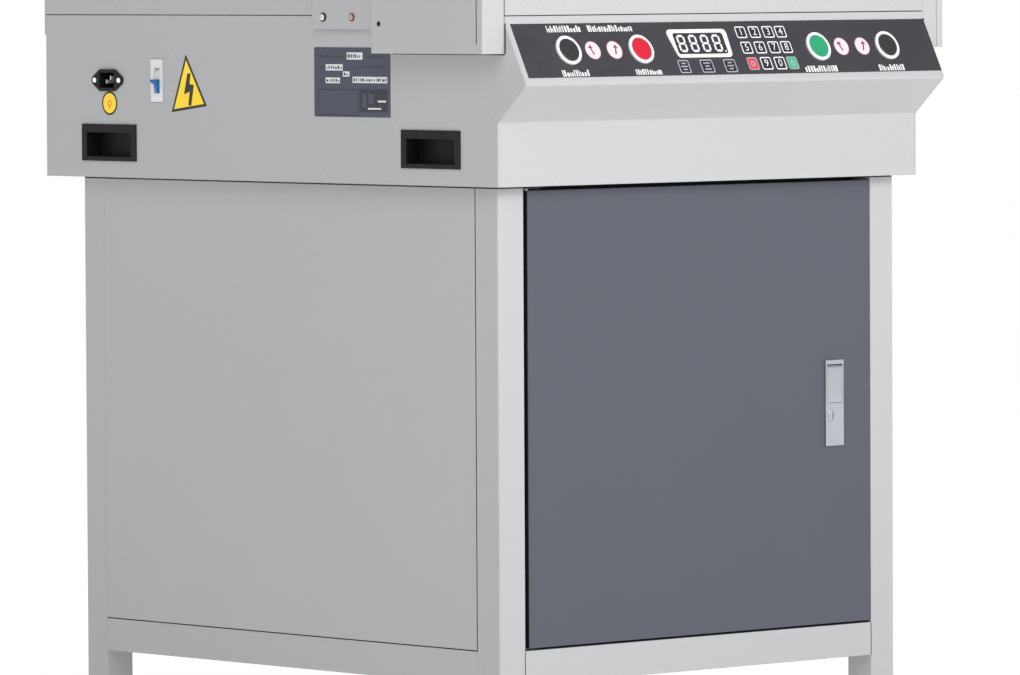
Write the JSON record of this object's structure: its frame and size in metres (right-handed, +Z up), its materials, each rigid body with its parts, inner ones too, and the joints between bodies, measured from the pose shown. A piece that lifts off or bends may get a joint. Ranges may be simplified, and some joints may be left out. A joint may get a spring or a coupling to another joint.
{
  "type": "guillotine paper cutter",
  "caption": "Floor-standing electric guillotine paper cutter with a control panel, side guards, rear table cover and a cabinet stand with a lockable door.",
  "frame": {"origin": "on the floor, under the centre of the whole machine's length and width", "axes": "+Z up, +Y to the machine's back, +X to the operator's right"},
  "size_m": [0.652, 0.7575, 1.18],
  "materials": {
    "grey_paint": "fine textured powder coat",
    "door_paint": "satin slate-grey powder coat",
    "black_plastic": "fine moulded texture",
    "panel_overlay": "charcoal printed membrane",
    "display_glass": "glossy dark window",
    "white_plastic": "glossy white",
    "black_button": "gloss black",
    "red_plastic": "gloss red",
    "green_plastic": "gloss green",
    "blue_plastic": "gloss blue",
    "brass_contact": "plated contact",
    "circuit_board": "coated board",
    "transformer_steel": "varnished laminations",
    "table_iron": "ground surface",
    "frame_iron": "painted casting",
    "stick_plastic": "cut plastic",
    "bright_steel": "turned and plated",
    "carrier_paint": "painted steel",
    "blade_steel": "ground",
    "bronze": "machined bronze",
    "motor_paint": "black enamel",
    "curtain_acrylic": "dark red window",
    "clear_plastic": "clear sheet",
    "lock_chrome": "brushed plate"
  },
  "bodies": {
    "machine": {"bed_rails": "frame_iron", "breaker_body": "white_plastic", "button_bezels": "white_plastic", "cabinet_floor_panel": "grey_paint", "cabinet_panels": "grey_paint", "carrier_rollers": "bright_steel", "case_back_panel": "grey_paint", "case_base_plate": "grey_paint", "case_front_shell": "grey_paint", "case_side_left": "grey_paint", "case_side_right": "grey_paint", "control_board": "circuit_board", "control_overlay": "panel_overlay", "crossbeam": "frame_iron", "cutting_stick": "stick_plastic", "display_window": "display_glass", "drive_motors": "motor_paint", "feet_jam_nuts": "bright_steel", "frame_covers": "grey_paint", "front_apron": "grey_paint", "front_table": "table_iron", "head_cover": "grey_paint", "hinge_pins": "bright_steel", "leveling_feet": "black_plastic", "light_curtains": "curtain_acrylic", "power_inlet": "black_plastic", "power_inlet_pins": "brass_contact", "power_transformer": "transformer_steel", "rear_cover": "grey_paint", "rear_table": "table_iron", "recess_grips_left": "black_plastic", "recess_grips_right": "black_plastic", "side_frames": "frame_iron", "stand_lower_rails": "grey_paint", "stand_posts": "grey_paint", "stand_upper_rails": "grey_paint", "switch_blocks": "black_plastic", "wing_left": "grey_paint", "wing_right": "grey_paint"},
    "door": {"door_panel": "door_paint", "lock_plate": "lock_chrome"},
    "lock_lever": {"lock_handle": "lock_chrome"},
    "lock_barrel": {"lock_cylinder": "lock_chrome"},
    "knife": {"blade_carrier": "carrier_paint", "blade": "blade_steel", "blade_bolts": "bright_steel"},
    "knife_screw": {"knife_spindle": "bright_steel"},
    "knife_drive_nut": {"knife_nut": "bronze"},
    "clamp": {"clamp_beam": "frame_iron", "clamp_guide_rods": "bright_steel"},
    "clamp_screw": {"clamp_spindle": "bright_steel"},
    "gauge": {"backgauge": "frame_iron", "gauge_nut": "bronze"},
    "gauge_leadscrew": {"gauge_screw": "bright_steel"},
    "lid": {"rear_lid": "clear_plastic"},
    "breaker_toggle": {"breaker_lever": "blue_plastic"},
    "cut_left": {"cut_button_left": "black_button"},
    "cut_right": {"cut_button_right": "black_button"},
    "stop": {"stop_button": "red_plastic"},
    "clamp_start": {"clamp_button": "green_plastic"}
  },
  "joints": [
    {"name": "door_hinge", "type": "hinge", "parent": "machine", "child": "door", "pos_m": [-0.236, -0.312, 0.38], "axis": [0, 0, -1], "range_deg": [0, 100]},
    {"name": "lock_handle_lift", "type": "hinge", "parent": "door", "child": "lock_lever", "pos_m": [0.191, -0.3187, 0.421], "axis": [-1, 0, 0], "range_deg": [0, 60]},
    {"name": "lock_key_turn", "type": "hinge", "parent": "door", "child": "lock_barrel", "pos_m": [0.1875, -0.31, 0.371], "axis": [0, -1, 0], "range_deg": [0, 90]},
    {"name": "knife_slide", "type": "slide", "parent": "machine", "child": "knife", "axis": [0.3714, 0, -0.9285], "range_m": [0, 0.05331]},
    {"name": "knife_nut_slide", "type": "slide", "parent": "machine", "child": "knife_drive_nut", "axis": [0, 0, -1], "range_m": [0, 0.0495]},
    {"name": "knife_spindle_turn", "type": "hinge", "parent": "machine", "child": "knife_screw", "pos_m": [-0.215, -0.19, 1.05], "axis": [0, 0, 1], "range_deg": [0, 1782]},
    {"name": "clamp_slide", "type": "slide", "parent": "machine", "child": "clamp", "axis": [0, 0, -1], "range_m": [0, 0.0445]},
    {"name": "clamp_spindle_turn", "type": "hinge", "parent": "machine", "child": "clamp_screw", "pos_m": [0, -0.12, 1.05], "axis": [0, 0, 1], "range_deg": [0, 1602]},
    {"name": "backgauge_slide", "type": "slide", "parent": "machine", "child": "gauge", "axis": [0, 1, 0], "range_m": [-0.125, 0.245]},
    {"name": "gauge_screw_turn", "type": "hinge", "parent": "machine", "child": "gauge_leadscrew", "pos_m": [0, 0.1, 0.775], "axis": [0, 1, 0], "range_deg": [-4500, 8820]},
    {"name": "rear_lid_hinge", "type": "hinge", "parent": "machine", "child": "lid", "pos_m": [0, -0.012, 0.91], "axis": [1, 0, 0], "range_deg": [0, 75]},
    {"name": "breaker_lever_throw", "type": "hinge", "parent": "machine", "child": "breaker_toggle", "pos_m": [-0.2807, 0.1929, 0.7227], "axis": [0, 1, 0], "range_deg": [0, 36]},
    {"name": "cut_left_press", "type": "slide", "parent": "machine", "child": "cut_left", "axis": [0, 0.8897, -0.4566], "range_m": [0, 0.0025], "stiffness_N_per_m": 400},
    {"name": "cut_right_press", "type": "slide", "parent": "machine", "child": "cut_right", "axis": [0, 0.8897, -0.4566], "range_m": [0, 0.0025], "stiffness_N_per_m": 400},
    {"name": "stop_press", "type": "slide", "parent": "machine", "child": "stop", "axis": [0, 0.8897, -0.4566], "range_m": [0, 0.0025], "stiffness_N_per_m": 400},
    {"name": "clamp_start_press", "type": "slide", "parent": "machine", "child": "clamp_start", "axis": [0, 0.8897, -0.4566], "range_m": [0, 0.0025], "stiffness_N_per_m": 400}
  ],
  "couplings": [
    {"joint": "knife_nut_slide", "follows": "knife_slide", "ratio": 0.92848},
    {"joint": "knife_spindle_turn", "follows": "knife_slide", "rad_per_m": 583.38},
    {"joint": "clamp_spindle_turn", "follows": "clamp_slide", "rad_per_m": 628.32},
    {"joint": "gauge_screw_turn", "follows": "backgauge_slide", "rad_per_m": 628.32}
  ]
}
